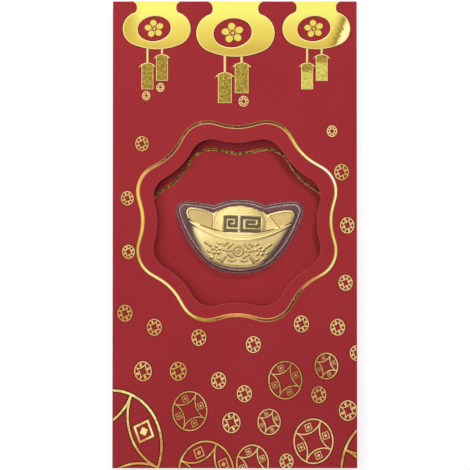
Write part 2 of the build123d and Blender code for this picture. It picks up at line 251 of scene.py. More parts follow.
def upper_outlines(node):
    """Outlines of a flat CAD node's upper face: anticlockwise, and its holes clockwise."""
    work = bmesh.new()
    work.from_mesh(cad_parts[node].data)
    bmesh.ops.remove_doubles(work, verts=work.verts, dist=NEAR)
    work.verts.index_update()
    work.verts.ensure_lookup_table()
    high = max(vert.co.z for vert in work.verts) - NEAR
    upper = {face for face in work.faces if all(vert.co.z > high for vert in face.verts)}
    after = {}
    for face in upper:
        for corner in face.loops:
            if not any(other in upper for other in corner.edge.link_faces if other is not face):
                after[corner.vert.index] = corner.link_loop_next.vert.index
    outlines = []
    while after:
        run = [next(iter(after))]
        while run[-1] in after:
            run.append(after.pop(run[-1]))
        outlines.append(np.array([work.verts[index].co[:2] for index in run[:-1]]) / MM)
    work.free()
    return outlines


# Meshes

class Build:
    """Collects vertices in millimetres and faces with their finish."""

    def __init__(self):
        self.points, self.faces, self.finish = [], [], []

    def loop(self, points, z):
        first = len(self.points)
        heights = np.broadcast_to(z, len(points))
        self.points.extend((x, y, h) for (x, y), h in zip(points, heights))
        return list(range(first, len(self.points)))

    def face(self, corners, finish=0):
        self.faces.append(tuple(corners))
        self.finish.append(finish)

    def bridge(self, low, high, finish=0, closed=True):
        """Quads between two loops of one length; the first loop lies outside or below."""
        count = len(low)
        for index in range(count if closed else count - 1):
            after = (index + 1) % count
            self.face((low[index], low[after], high[after], high[index]), finish)

    def cap(self, loops, up, finish=0):
        """Flat faces inside one outline with holes."""
        outlines = [[Vector((*self.points[i][:2], 0)) for i in loop] for loop in loops]
        corners = [i for loop in loops for i in loop]
        for a, b, c in tessellate_polygon(outlines):
            a, b, c = corners[a], corners[b], corners[c]
            pa, pb, pc = (self.points[i] for i in (a, b, c))
            area = (pb[0] - pa[0]) * (pc[1] - pa[1]) - (pb[1] - pa[1]) * (pc[0] - pa[0])
            self.face((a, b, c) if (area > 0) == up else (a, c, b), finish)

    def plate(self, outlines, profile, finish=0, edges=(), draw=drawn_in):
        """A flat piece: outlines swept through (draw in, height) steps and closed at both ends.

        The edge steps take their finishes from edges, the last of which holds for the rest.
        """
        kinds = [edges[min(step, len(edges) - 1)] if edges else finish
                 for step in range(len(profile) - 1)]
        ends = []
        for outline in outlines:
            loops = [self.loop(draw(outline, inset), z) for inset, z in profile]
            for low, high, kind in zip(loops, loops[1:], kinds):
                self.bridge(low, high, kind)
            ends.append((loops[0], loops[-1]))
        self.cap([low for low, _ in ends], False, finish)
        self.cap([high for _, high in ends], True, finish)

    def ribbon(self, path, width, low, high, closed, edge=0.0, finish=(0, 0, 0)):
        """A drawn line, raised from low to high, whose two edges slope out beyond its top."""
        path = np.asarray(path)
        after = np.roll(path, -1, axis=0) - path
        before = path - np.roll(path, 1, axis=0)
        if not closed:
            after[-1], before[0] = before[-1], after[0]
        along = after / np.linalg.norm(after, axis=1, keepdims=True)
        along += before / np.linalg.norm(before, axis=1, keepdims=True)
        along /= np.linalg.norm(along, axis=1, keepdims=True)
        side = np.stack([along[:, 1], -along[:, 0]], axis=1)
        top, foot = side * width / 2, side * (width / 2 + edge)
        loops = [self.loop(path + foot, low), self.loop(path + top, high),
                 self.loop(path - top, high), self.loop(path - foot, low)]
        kinds = (finish[1], finish[0], finish[2], finish[0])
        for first, second, kind in zip(loops, loops[1:] + loops[:1], kinds):
            self.bridge(first, second, kind, closed)
        if not closed:
            self.face([loop[0] for loop in loops], finish[0])
            self.face([loop[-1] for loop in reversed(loops)], finish[0])

    def mesh(self, name, smooth=False, trim=()):
        """The finished mesh in metres, cut off at the trim's reach across and up where given."""
        mesh = bpy.data.meshes.new(name)
        mesh.from_pydata([Vector(p) * MM for p in self.points], [], self.faces)
        mesh.polygons.foreach_set("material_index", self.finish)
        work = bmesh.new()
        work.from_mesh(mesh)
        bmesh.ops.remove_doubles(work, verts=work.verts, dist=NEAR / 2)
        for axis, limit in enumerate(trim):
            for sign in (-1, 1):
                normal = Vector((0, 0, 0))
                normal[axis] = sign
                parts = work.verts[:] + work.edges[:] + work.faces[:]
                bmesh.ops.bisect_plane(work, geom=parts, dist=NEAR / 10, plane_no=normal,
                                       plane_co=normal * limit * MM, clear_outer=True)
                rims = [edge for edge in work.edges if edge.is_boundary]
                bmesh.ops.holes_fill(work, edges=rims, sides=0)
        bmesh.ops.recalc_face_normals(work, faces=work.faces)
        work.to_mesh(mesh)
        work.free()
        mesh.polygons.foreach_set("use_smooth", [smooth] * len(mesh.polygons))
        mesh.update()
        return mesh


def mount(mesh, materials, body, replaced=()):
    """Puts a finished mesh into the scene, on a body of the frame."""
    piece = bpy.data.objects.new(mesh.name, mesh)
    bpy.context.scene.collection.objects.link(piece)
    for material in materials:
        mesh.materials.append(material)
    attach(piece, body)
    if replaced:
        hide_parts(*replaced)


def dress(nodes, material):
    """Gives CAD nodes that stay visible their finish."""
    for node in nodes:
        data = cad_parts[node].data
        data.materials.clear()
        data.materials.append(material)


# Shading

class Tone:
    """A shader socket that can be used in Python expressions."""

    def __init__(self, tree, socket=None):
        self.tree, self.socket = tree, socket

    def node(self, kind, settings=None, inputs=None, out=0):
        """Adds a node: its settings first, then the values or links of its sockets."""
        node = self.tree.nodes.new(kind)
        for key, value in (settings or {}).items():
            if key == "stops":
                stops = node.color_ramp.elements
                while len(stops) < len(value):
                    stops.new(0.5)
                for stop, (position, colour) in zip(stops, value):
                    stop.position, stop.color = position, (*colour, 1)
            else:
                setattr(node, key, value)
        for key, value in (inputs or {}).items():
            connect(self.tree, node.inputs[key], value)
        return Tone(self.tree, node.outputs[out])

    def math(self, operation, *values):
        """A Math node of the values."""
        return self.node("ShaderNodeMath", {"operation": operation}, dict(enumerate(values)))

    def __add__(self, other):
        return self.math("ADD", self, other)

    __radd__ = __add__

    def __sub__(self, other):
        return self.math("SUBTRACT", self, other)

    def __rsub__(self, other):
        return self.math("SUBTRACT", other, self)

    def __mul__(self, other):
        return self.math("MULTIPLY", self, other)

    __rmul__ = __mul__

    def __truediv__(self, other):
        return self.math("DIVIDE", self, other)

    def __rtruediv__(self, other):
        return self.math("DIVIDE", other, self)

    def __abs__(self):
        return self.math("ABSOLUTE", self)

    def step(self, low, high):
        """Smooth rise from 0 at low to 1 at high."""
        return self.node("ShaderNodeMapRange", {"interpolation_type": "SMOOTHSTEP"},
                         {"Value": self, "From Min": low, "From Max": high})

    def hump(self, middle, half):
        """1 at middle, falling smoothly to 0 at the distance half on either side."""
        return 1 - abs(self - middle).step(0, half)

    def mix(self, first, second):
        """A colour between two, with this value as the share of the second."""
        return self.node("ShaderNodeMix", {"data_type": "RGBA"}, {0: self, 6: first, 7: second}, 2)

    def part(self, axis):
        return self.node("ShaderNodeSeparateXYZ", None, {0: self}, axis)

    def noise(self, scale, detail=3.0, roughness=0.5):
        """Noise at so many grains a millimetre."""
        return self.node("ShaderNodeTexNoise", None, {
            "Vector": self, "Scale": scale, "Detail": detail, "Roughness": roughness})


def connect(tree, socket, value):
    """Links a tone to a socket, or sets the socket's own value."""
    if isinstance(value, Tone):
        tree.links.new(value.socket, socket)
    elif socket.type == "RGBA" and len(value) == 3:
        socket.default_value = (*value, 1)
    else:
        socket.default_value = value


def place_mm(start):
    """The point on the object, in millimetres of the frame."""
    place = start.node("ShaderNodeTexCoord", out="Object")
    return start.node("ShaderNodeVectorMath", {"operation": "SCALE"}, {0: place, "Scale": 1 / MM})


def finish(name, surface, constants=None):
    """A Principled material: constants on its sockets, and what surface() links to them."""
    material = bpy.data.materials.new(name)
    material.use_nodes = True
    tree = material.node_tree
    shader = tree.nodes["Principled BSDF"]
    for key, value in {**(constants or {}), **surface(Tone(tree))}.items():
        connect(tree, shader.inputs[key], value)
    return material


def relief(start, height, depth):
    """A bump of so many millimetres."""
    return start.node("ShaderNodeBump", None, {
        "Strength": 1.0, "Distance": depth * MM, "Height": height})


# Settings

def colour(name, description, value):
    return FloatVectorProperty(name=name, description=description, subtype="COLOR", size=3,
                               min=0, max=1, default=value)


def length(name, description, value):
    return FloatProperty(name=name, description=description, unit="LENGTH", min=0,
                         default=value * MM)


def level(name, description, value):
    return FloatProperty(name=name, description=description, subtype="FACTOR", min=0, max=1,
                         default=value)


def amount(name, description, value, least=0.0):
    return FloatProperty(name=name, description=description, min=least, default=value)


def angle(name, description, value):
    return FloatProperty(name=name, description=description, subtype="ANGLE",
                         default=math.radians(value))


def divisions(name, description, value, least):
    return IntProperty(name=name, description=description, min=least, default=value)


class CardSettings(bpy.types.PropertyGroup):
    """Red card stock."""
    red: colour("Red", "Colour of the card", (0.378, 0.0315, 0.0375))
    deep: colour("Deep red", "Colour in the hollows of the grain", (0.272, 0.0195, 0.0260))
    cut: colour("Cut edge", "Colour along cut and worn edges", (0.50, 0.105, 0.115))
    grain: amount("Grain", "Fibres in a millimetre", 1.9)
    grain_depth: length("Grain depth", "Height of the fibres", 0.012)
    cut_round: length("Cut rounding", "Rounding of the cut edges", 0.14)
    opening_round: length("Opening rounding", "Rounding of the sliding card's opening", 0.23)
    corner: length("Corner", "Corner rounding of the sliding card", 3.0)


class FoilSettings(bpy.types.PropertyGroup):
    """Stamped gold foil."""
    # Most of these foil colours are laid out by place as painted reflections, painted highlights
    # and painted shade
    lemon: colour("Lemon", "Foil where it is brightest", (0.925, 0.875, 0.182))
    yellow: colour("Yellow", "Foil of the lanterns", (0.825, 0.645, 0.115))
    gold: colour("Gold", "Foil in its middle tone", (0.645, 0.465, 0.078))
    peach: colour("Peach", "Lines of foil in the light", (1.0, 0.60, 0.27))
    copper: colour("Copper", "Lines of foil in their middle tone", (0.78, 0.37, 0.115))
    brown: colour("Brown", "Lines of foil in the shade", (0.19, 0.070, 0.022))
    olive: colour("Olive", "Foil of the tassels", (0.24, 0.150, 0.024))
    pale: colour("Pale", "Foil in a highlight", (0.98, 0.88, 0.34))
    white: colour("White", "Foil in its whitest gleam", (0.99, 0.95, 0.80))
    gleam: colour("Gleam", "Foil of the right lantern in its gleam", (1.0, 0.93, 0.42))
    dark: colour("Dark", "Foil turned from the light", (0.075, 0.045, 0.015))
    # Pressed is the painted shade along the edges where the foil is pressed into the card
    pressed: colour("Pressed", "Foil pressed into the card along an edge", (0.130, 0.018, 0.001))
    roughness: level("Roughness", "Roughness of the foil", 0.30)
    grain_depth: length("Grain depth", "Height of the card's grain under the foil", 0.006)
    coin_line: length("Coin line", "Width of the thinnest coin line", 0.33)
    coin_line_share: level("Coin line share", "Line width gained with a coin's radius", 0.023)
    edge: length("Edge", "Width of the pressed edge of a line", 0.26)
    edge_share: level("Edge share", "Edge width gained with a coin's radius", 0.007)
    emblem_size: length("Emblem size", "Width of the blossom in a lantern", 7.4)


class IngotSettings(bpy.types.PropertyGroup):
    """Gilt ingot."""
    gilt: colour("Gilt", "Colour of the gilding", (0.90, 0.68, 0.255))
    deep: colour("Deep gilt", "Colour in the hollows", (0.72, 0.50, 0.155))
    # Hollow gilt is painted shade in the hollows round the ornament
    hollow: colour("Hollow gilt", "Colour along the foot of the ornament", (0.26, 0.155, 0.040))
    # Painted highlight: paler gilt on the left side and the high points of the ingot
    painted_highlight: colour("Rubbed gilt", "Colour where the gilding is rubbed", (0.97, 0.88, 0.54))
    mark: colour("Mark", "Colour in the sunk fret", (0.035, 0.026, 0.009))
    hull_height: length("Hull height", "Height of the hull under the rim", 4.0)
    mound_height: length("Mound height", "Height of the mound", 4.3)
    rim_stand: length("Rim stand", "Height of the beads along the rim", 0.24)
    relief_height: length("Relief", "Height of the ornament on the hull", 0.25)
    flank_drop: length("Flank drop", "How far the hull falls to its left edge", 1.15)
    mark_depth: length("Fret depth", "Depth of the fret in the mound", 0.22)
    grain_depth: length("Grain depth", "Unevenness of the gilding", 0.010)
    columns: divisions("Columns", "Divisions from wing to wing", 280, 40)
    rows: divisions("Rows", "Divisions from foot to mound", 220, 20)


class BlisterSettings(bpy.types.PropertyGroup):
    """Clear blister."""
    wall: length("Wall", "Thickness of the sheet", 0.25)
    draft: length("Draft", "How far the wall leans in", 0.9)
    shoulder: length("Shoulder", "Rounding at the top", 0.8)
    crown: length("Crown", "Rise of the top", 0.12)
    flange: length("Flange", "Margin that is held behind the card", 6.0)
    ior: amount("Refraction", "Index of refraction", 1.28, 1.0)
    sheet: colour("Sheet", "Colour of the clear sheet", (0.96, 0.96, 0.97))
    haze: colour("Haze", "Colour of the drawn wall", (0.27, 0.11, 0.11))
    # The bend colour is that of the painted highlights along the wall's bends
    bend: colour("Bend", "Colour of the wall's bends", (0.95, 0.78, 0.75))


class TrimSettings(bpy.types.PropertyGroup):
    """Gum strip and backing board."""
    gum_dark: colour("Dark gum", "Thick gum", (0.46, 0.33, 0.22))
    gum_pale: colour("Pale gum", "Thin gum", (0.72, 0.60, 0.46))
    board_dark: colour("Dark board", "Hollows of the board's grain", (0.60, 0.57, 0.52))
    board_pale: colour("Pale board", "Colour of the board", (0.76, 0.74, 0.69))
    fleck: colour("Fleck", "Specks in the board", (0.36, 0.33, 0.29))
    # The board's red lining is darkened as painted shade under the ingot and the blister wall
    shaded_lining_dark: colour("Dark lining", "Hollows of the board's lining", (0.13, 0.040, 0.046))
    shaded_lining_pale: colour("Pale lining", "Board's lining under the blister", (0.25, 0.078, 0.082))
    grain_depth: length("Grain depth", "Height of the gum's and the board's grain", 0.02)


class StageSettings(bpy.types.PropertyGroup):
    """Floor, light and camera."""
    distance: length("Distance", "Camera to card", 550)
    view_width: length("View width", "Width seen at the card", 171.1)
    tilt: angle("Tilt", "Lean of the camera to the foot of the card", 0.9)
    roll: angle("Roll", "Turn of the camera", 0.0)
    key: amount("Key", "Power of the lamp above", 1.50)
    fill: amount("Fill", "Power of the lamp at the left", 0.72)
    sky: level("Sky", "Level of the even light", 0.23)
    bounce: level("Bounce", "Level of the light from below", 0.60)
    floor_dark: level("Dark floor", "Darkest tone of the floor", 0.40)
    floor_pale: level("Pale floor", "Palest tone of the floor", 0.43)
    glow: level("Glow", "White that the floor adds of itself", 0.70)


# Pieces

CARD_NODES = ("left_gusset", "right_gusset", "bottom_gusset", "left_glue_tab", "right_glue_tab",
              "bottom_glue_tab", "left_seam_tab", "right_seam_tab", "bottom_seam_tab",
              "divider_panel", "back_panel", "flap_spine", "top_flap")


def card_surface(card, cut):
    """Fibrous red stock; worn along the packet's edges, or cut right through."""

    def surface(start):
        place = place_mm(start)
        fibre, cloud = place.noise(card.grain, 4, 0.62), place.noise(0.035, 2)
        body = (fibre * 0.85 + cloud * 0.2).step(0.34, 0.72).mix(card.deep, card.red)
        x, y, z = abs(place.part("X")), abs(place.part("Y")), place.part("Z")
        edge = x.math("MAXIMUM", x.step(FRONT_HIGH[0] - WORN_ACROSS, FRONT_HIGH[0]),
                      y.step(FRONT_HIGH[1] - WORN_UP, FRONT_HIGH[1]))
        inside = z.step(FOLD_LOW, FOLD_LOW + WORN_FOLD)
        inside *= 1 - z.step(FOLD_HIGH - WORN_FOLD, FOLD_HIGH)
        wear = edge * (1 - inside) * place.noise(0.9, 3).step(0.35, 0.75) * 0.45
        if cut:
            wear = wear * 0.4 + 0.6
        return {"Base Color": wear.mix(body, card.cut), "Roughness": 0.50 + fibre * 0.24,
                "Normal": relief(start, fibre, card.grain_depth / MM)}

    return surface


class PACKET_OT_card(bpy.types.Operator):
    """Makes the front sheet and the sliding card with their openings; finishes the folded card"""
    bl_idname = "packet.card"
    bl_label = "Card"

    def execute(self, context):
        card = context.scene.packet_card
        stock = finish("red_card", card_surface(card, False), {"Specular IOR Level": 0.12})
        cut = finish("cut_card", card_surface(card, True), {"Specular IOR Level": 0.25})
        dress(CARD_NODES, stock)
        window = lobed(*WINDOW) + WINDOW_CENTRE
        hole = drawn_in(boat(BLISTER_SIZE, BLISTER_SHARES, BLISTER_STEPS), -BLISTER_PLAY)
        hole += BLISTER_PLACE
        for name, body, node, opening, corner, soft in (
                ("front_sheet", "envelope", "front_panel", window, 0, card.cut_round),
                ("insert_sheet", "insert", "insert_card", hole, card.corner, card.opening_round)):
            low, high = box_mm(node)
            edge = rectangle(low, high)
            if corner:
                edge = rounded(edge, (corner / MM,) * 4, CORNER_STEPS)
            soft /= MM
            profile = [(soft * away, low[2] + soft * up) for away, up in CUT_ROUNDING]
            profile += [(soft * away, high[2] - soft * up) for away, up in reversed(CUT_ROUNDING)]
            build = Build()
            build.plate([edge, opening[::-1]], profile, 0, (1,))
            mount(build.mesh(name), (stock, cut), body, (node,))
        return {"FINISHED"}


def foil_finish(name, foil, tint, roughness=None):
    """Foil over the card's grain; tint gives its colour at a place."""

    def surface(start):
        place = place_mm(start)
        grain = place.noise(2.6, 4, 0.6)
        even = foil.roughness if roughness is None else roughness
        return {"Base Color": tint(place, grain), "Roughness": even - 0.06 + grain * 0.12,
                "Normal": relief(start, grain, foil.grain_depth / MM)}

    return finish(name, surface, {"Metallic": 1.0})


def lantern_tint(foil, x_middle, left_shade, bright):
    """Painted reflection from lemon at the neck to gold at the foot; painted shade at the left, or
    a slanting painted shade and gleam at the right.
    """

    def tint(place, grain):
        x, drop = place.part("X") - x_middle, FRONT_HIGH[1] - place.part("Y")
        fall = drop + (grain - 0.5) * 2.5
        # Painted reflection: lemon near the neck, turning yellow and then gold towards the foot
        body = fall.step(3, 12).mix(foil.lemon, foil.yellow)
        body = fall.step(11, 19).mix(body, foil.gold)
        # Painted shade on the left side of the left lantern
        body = ((0 - x).step(5, 11) * left_shade).mix(body, foil.gold)
        # On the right lantern, a slanting band of painted shade, then a painted gleam
        slant = x + (drop - LANTERN_DROP) * GLEAM_SLANT + (place.noise(1.4, 3) - 0.5) * 4.0
        shade = (slant.hump(7.8, 3.0) * bright).mix(body, foil.gold)
        shade = (slant.hump(8.5, 1.8) * bright * 0.65).mix(shade, foil.olive)
        return (slant.step(8.8, 10.0) * bright).mix(shade, foil.gleam)

    return tint


def tassel_tint(foil, x_middle, share, light, cap_without_gleam):
    """Dotted olive strips with a painted gleam, which on the right lantern stays off the caps."""

    def tint(place, grain):
        x, drop = (place.part("X") - x_middle) / share, (FRONT_HIGH[1] - place.part("Y")) / share
        second = x.step(-0.9, -0.5)
        hang = drop + second * TASSEL_LIFT
        side = abs(x - TASSEL_FIRST - second * TASSEL_APART)
        dots = place.noise(2.3, 1).step(0.38, 0.62)
        body = (dots * 0.7 + 0.04).mix(foil.olive, foil.gold)
        # Painted gleam on the strips, at the level given for each lantern
        whole = (hang.step(*CAP_FOOT) if cap_without_gleam else 1) * light
        whole += (place.noise(0.25, 2) - 0.5) * 0.3 - (1 - dots) * 0.3
        body = whole.mix(body, foil.lemon)
        body = (side.step(TASSEL_WIDTH / 2 - 0.4, TASSEL_WIDTH / 2) * 0.6).mix(body, foil.copper)
        cord = side.step(0.16, 0.36).mix(foil.peach, foil.brown)
        return hang.step(*CAP_TOP).mix(cord, body)

    return tint


def pressed_edge_shade(foil):
    """Painted shade along the edge where the stamp pressed the foil into the card."""
    return lambda place, grain: (grain * 0.6).mix(foil.pressed, foil.dark)


def round_border(place, centre, stops):
    """Tones round a wavy line, by shares of a turn from its left edge, anticlockwise."""
    x, y = place.part("X") - centre[0], place.part("Y") - centre[1]
    turn = x.math("ARCTAN2", y, x) / math.tau + 0.5 + (place.noise(0.3, 2) - 0.5) * 0.04
    return turn.node("ShaderNodeValToRGB", {"stops": stops}, {0: turn})


def border_face(foil, centre):
    """Foil round the window in painted reflections: pale at the left and right, dark above and
    below.
    """
    stops = ((0.00, foil.yellow), (0.05, foil.gold), (0.085, foil.pale), (0.165, foil.pale),
             (0.185, foil.gold), (0.215, foil.brown), (0.25, foil.copper), (0.29, foil.brown),
             (0.36, foil.dark), (0.395, foil.copper), (0.42, foil.pale), (0.48, foil.yellow),
             (0.54, foil.pale), (0.58, foil.white), (0.62, foil.pale), (0.65, foil.yellow),
             (0.68, foil.brown), (0.745, foil.dark), (0.83, foil.brown), (0.885, foil.dark),
             (0.92, foil.copper), (0.96, foil.yellow), (1.00, foil.yellow))

    def tint(place, grain):
        body = round_border(place, centre, stops)
        return (place.noise(0.7, 3).step(0.52, 0.70) * 0.4).mix(body, foil.copper)

    return tint


def border_edge(foil, centre, inner):
    """The pressed edges of that foil in painted shade and painted reflections; the inner one has a
    painted highlight above the window.
    """
    light = foil.peach if inner else foil.brown
    stops = ((0.00, foil.copper), (0.05, foil.brown), (0.18, foil.brown), (0.22, foil.copper),
             (0.30, foil.copper), (0.40, foil.brown), (0.62, foil.brown), (0.68, light),
             (0.90, light), (0.95, foil.copper), (1.00, foil.copper))
    return lambda place, grain: (grain * 0.3).mix(round_border(place, centre, stops), foil.copper)


def insert_line_face(foil):
    """Dark foil with bright specks, painted as in the shade of the window."""

    def tint(place, grain):
        return (place.noise(1.5, 2).step(0.50, 0.68) * 0.55).mix(foil.dark, foil.copper)

    return tint


def insert_line_edge(foil):
    """The pressed edges of that foil, brown and copper by turns, painted as in the shade of the
    window.
    """
    return lambda place, grain: place.noise(0.4, 2).step(0.35, 0.65).mix(foil.brown, foil.copper)


class PACKET_OT_borders(bpy.types.Operator):
    """Stamps the wavy line round the window and the one on the sliding card"""
    bl_idname = "packet.borders"
    bl_label = "Wavy lines"

    def execute(self, context):
        foil = context.scene.packet_foil
        for name, body, shape, line, edge in (
                ("border", "envelope", BORDER, BORDER_LINE, BORDER_EDGE),
                ("insert_border", "insert", INSERT_BORDER, INSERT_LINE, INSERT_EDGE)):
            low, high = box_mm(f"{name}_foil")
            centre = ((low + high) / 2)[:2]
            if body == "envelope":
                tints = (border_face(foil, centre), border_edge(foil, centre, False),
                         border_edge(foil, centre, True))
            else:
                tints = insert_line_face(foil), insert_line_edge(foil), insert_line_edge(foil)
            finishes = [foil_finish(f"{name}_{part}", foil, tint)
                        for part, tint in zip(("face", "outer_edge", "inner_edge"), tints)]
            build = Build()
            build.ribbon(lobed(*shape) + centre, line, low[2], high[2], True, edge, (0, 1, 2))
            mount(build.mesh(f"{name}_line"), finishes, body, (f"{name}_foil",))
        return {"FINISHED"}


class PACKET_OT_foil(bpy.types.Operator):
    """Stamps the lanterns and tassels, with a pale line and a pressed edge in painted shade round
    each
    """
    bl_idname = "packet.foil"
    bl_label = "Foil"

    def execute(self, context):
        foil = context.scene.packet_foil

        def pale_line(place, grain):
            return (grain * 0.6 + 0.2).mix(foil.pale, foil.peach)

        line = foil_finish("foil_line", foil, pale_line)
        edge = foil_finish("foil_edge", foil, pressed_edge_shade(foil), EDGE_ROUGHNESS)
        for name, x_middle, share, light in LANTERNS:
            left, right = name == "left", name == "right"
            tints = {"lantern": lantern_tint(foil, x_middle, float(left), float(right)),
                     "tassel": tassel_tint(foil, x_middle, share, light, right)}
            for kind, roughness, (out, pressed, pale) in LEAVES:
                node = f"{kind}_foil_{name}"
                profile = [(-out, FOIL_LOW), (pressed, FOIL_LOW + LEAF_STEP), (pale, FOIL_HIGH)]
                build = Build()
                build.plate(upper_outlines(node), profile, 0, (2, 1), drawn_in_below)
                face = foil_finish(node, foil, tints[kind], roughness)
                mount(build.mesh(f"{kind}_leaf_{name}"), (face, line, edge), "envelope",
                      (node,))
        return {"FINISHED"}


class PACKET_OT_emblems(bpy.types.Operator):
    """Stamps a five-petalled blossom into the field of each lantern"""
    bl_idname = "packet.emblems"
    bl_label = "Blossoms"

    def execute(self, context):
        foil = context.scene.packet_foil

        def blossom_tint(place, grain):
            return grain.mix(foil.gold, foil.lemon)

        gold = foil_finish("blossom_foil", foil, blossom_tint)
        profile = [(0, FOIL_LOW), (0, FOIL_HIGH - LEAF_STEP), (SOFT_EDGE, FOIL_HIGH)]
        petal, eye = ring(0.335, 0.315, 30) + (0.615, 0), ring(0.13, 0.13, 24)
        stamen, stamen_width = np.array([(0.20, 0.0), (0.33, 0.0)]), 0.09
        for name, x_middle, share, _ in LANTERNS:
            reach = foil.emblem_size / MM / 2 * share
            centre = np.array(EMBLEM_SHIFT) * share + (x_middle, FRONT_HIGH[1])

            def put(outline, turn=0.0):
                return turned(outline * reach, turn + EMBLEM_TILT) * (1, EMBLEM_FLAT) + centre

            build = Build()
            for turn in np.arange(PETALS) * 360 / PETALS:
                build.plate([put(petal, 90 + turn)], profile)
                build.ribbon(put(stamen, 90 + turn - 180 / PETALS), stamen_width * reach,
                             FOIL_LOW, FOIL_HIGH, False)
            build.plate([put(eye)], profile)
            mount(build.mesh(f"blossom_{name}"), (gold,), "envelope")
        return {"FINISHED"}


def coin_tint(foil, large):
    """Peach and copper lines in painted reflections, yellow and copper on the largest coins;
    painted shade at the lower right and lower left, and random brown wear.
    """

    def tint(place, grain):
        x, y = place.part("X"), place.part("Y")
        # Painted shade: duller patches at the lower right and the lower left
        shade = x.hump(23, 19) * y.hump(-50, 24) + x.hump(-16, 12) * y.hump(-64, 14) * 0.7
        # Painted reflections: random tone, brighter upwards on the largest coins and a little to
        # the right on the others
        if large:
            patch, light, wear = place.noise(0.12, 2) + (y + 70) * 0.012, foil.pale, 0.5
        else:
            patch, light, wear = place.noise(0.07, 2) + x * 0.002 + 0.06, foil.peach, 1.3
        body = (patch - shade * 0.25).step(0.38, 0.60).mix(foil.copper, light)
        # Brown from the painted shade and from random wear
        worn = shade * 0.3 + place.noise(wear, 2).step(0.50, 0.72) * 0.5
        return worn.mix(body, foil.brown)

    return tint


class PACKET_OT_coins(bpy.types.Operator):
    """Stamps the cash coins: a rim, four inward arcs and a small mark in each field"""
    bl_idname = "packet.coins"
    bl_label = "Coins"

    def execute(self, context):
        foil = context.scene.packet_foil
        width, height = (FRONT_HIGH - FRONT_LOW)[:2]
        build = Build()
        for x_share, y_share, size in COINS:
            self.stamp(build, foil, (x_share * width, y_share * height), size * width)
        finishes = (foil_finish("coin_foil", foil, coin_tint(foil, False)),
                    foil_finish("coin_edge", foil, pressed_edge_shade(foil), EDGE_ROUGHNESS),
                    foil_finish("large_coin_foil", foil, coin_tint(foil, True)))
        trim = (FRONT_HIGH[0] - SIDE_MARGIN, FRONT_HIGH[1])
        mount(build.mesh("stamped_coins", trim=trim), finishes, "envelope",
              ("coin_foils",))
        return {"FINISHED"}

    @staticmethod
    def stamp(build, foil, centre, radius):
        """One coin: its rim, then an arc and a mark in each quarter."""
        line = foil.coin_line / MM + foil.coin_line_share * radius
        edge = foil.edge / MM + foil.edge_share * radius
        kinds = (2 if radius > LARGE_RADIUS else 0, 1, 1)
        count = int(np.clip(radius * COIN_STEPS, COIN_STEPS_LEAST, COIN_STEPS_MOST))
        reach = radius - line / 2 - COIN_MARGIN
        turns = np.radians(180 + np.linspace(-45, 45, max(count // 4, ARC_STEPS_LEAST)))
        arc = reach * (on_circle(turns) + (math.sqrt(2), 0))
        spot = (0.69 * reach, 0)

        def put(points, turn=0.0):
            return turned(points, turn) * (COIN_ASPECT, 1) + centre

        build.ribbon(put(ring(reach, reach, count)), line, FOIL_LOW, FOIL_HIGH, True, edge, kinds)
        for quarter in range(4):
            turn = COIN_TURN + 45 + 90 * quarter
            top = FOIL_HIGH - 2 * COIN_LAYER * (1 + quarter % 2)
            build.ribbon(put(arc, turn), line * 0.92, FOIL_LOW, top, False, edge, kinds)
            top = FOIL_HIGH - COIN_LAYER
            if radius > MARKED_RADIUS:
                square = put(ring(0.20, 0.20, 4, 45) * radius + spot, turn)
                build.ribbon(square, 0.05 * radius, FOIL_LOW, top, True, edge / 2, kinds)
                dot = ring(0.085, 0.085, 4)
            else:
                dot = ring(0.20, 0.135, 16)
            build.plate([put(dot * radius + spot, turn)], [(-MARK_EDGE, FOIL_LOW), (0, top)],
                        kinds[0], (1,))


# Ornament of the ingot, in millimetres from its middle

FRET = (((-1.2, 2.3), (-5.6, 2.3), (-5.6, 7.2), (-1.3, 7.2),
         (-1.3, 4.0), (-3.9, 4.0), (-3.9, 5.6), (-2.9, 5.6)),
        ((7.4, 2.4), (0.6, 2.4), (0.6, 7.2), (7.2, 7.1),
         (7.2, 4.0), (2.6, 4.0), (2.6, 5.6), (5.4, 5.6)))
FRET_LINE, FRET_SOFT = 1.1, 0.12
WING_FACES = (-10.2, 17.5, 0.82)
DECK, DECK_RISE, WING_SUNK, WING_BANK = 3.0, 0.35, 0.3, 0.26
MOUND_MIDDLE, MOUND_REACH, MOUND_FOOT = (-0.2, 5.0), (11.4, 9.2), 1.3
FINE_LINE, FINE_LINE_STAND = 0.9, 0.03
BELLY, HULL_CROWN, RIM_CROWN = 38, 0.0042, 0.004
RIM_TOP, RIM_FOOT, RIM_ENDS, RIM_TAPER = 1.25, -1.25, (19.2, 5.9), 0.35
RIM_BEADS = ((0.12, 0.18, 1.0), (0.50, 0.14, 0.55), (0.87, 0.18, 0.8))
EDGE_REACH, EDGE_DROP = 0.35, 0.28
TIP_SHARE = 0.995
HULL_COIN = (-0.4, -5.1)
HULL_RINGS = ((1.75, 36, 0.38), (0.7, 4, 0.32))
HULL_LINES = (  # half width, then points beside the coin; each line has a twin at the left
    (0.40, (1.9, 2.6), (3.8, 1.0)), (0.40, (2.0, -2.4), (3.8, -1.2)),
    (0.40, (3.7, 3.0), (5.1, 1.8)), (0.42, (4.4, -2.0), (5.8, -4.0)),
    (0.52, (9.9, 1.5), (12.0, 2.9)), (0.36, (0.9, -3.3), (2.3, -3.8), (3.4, -3.3)))
HULL_LEAVES = (  # place beside the coin, half length, half width and turn; with twins too
    (2.85, 0.0, 0.55, 0.5, 45), (4.1, 0.0, 0.55, 0.5, 45), (5.3, 0.3, 0.7, 0.5, 10),
    (6.7, 2.6, 1.2, 0.55, 15), (10.6, -0.4, 1.0, 0.55, 30), (9.6, -2.7, 1.1, 0.55, -25),
    (6.9, -3.0, 1.1, 0.55, 25))
ROSETTES, ROSETTE_EYE = ((-8.3, -4.9), (7.5, -4.9)), 0.55
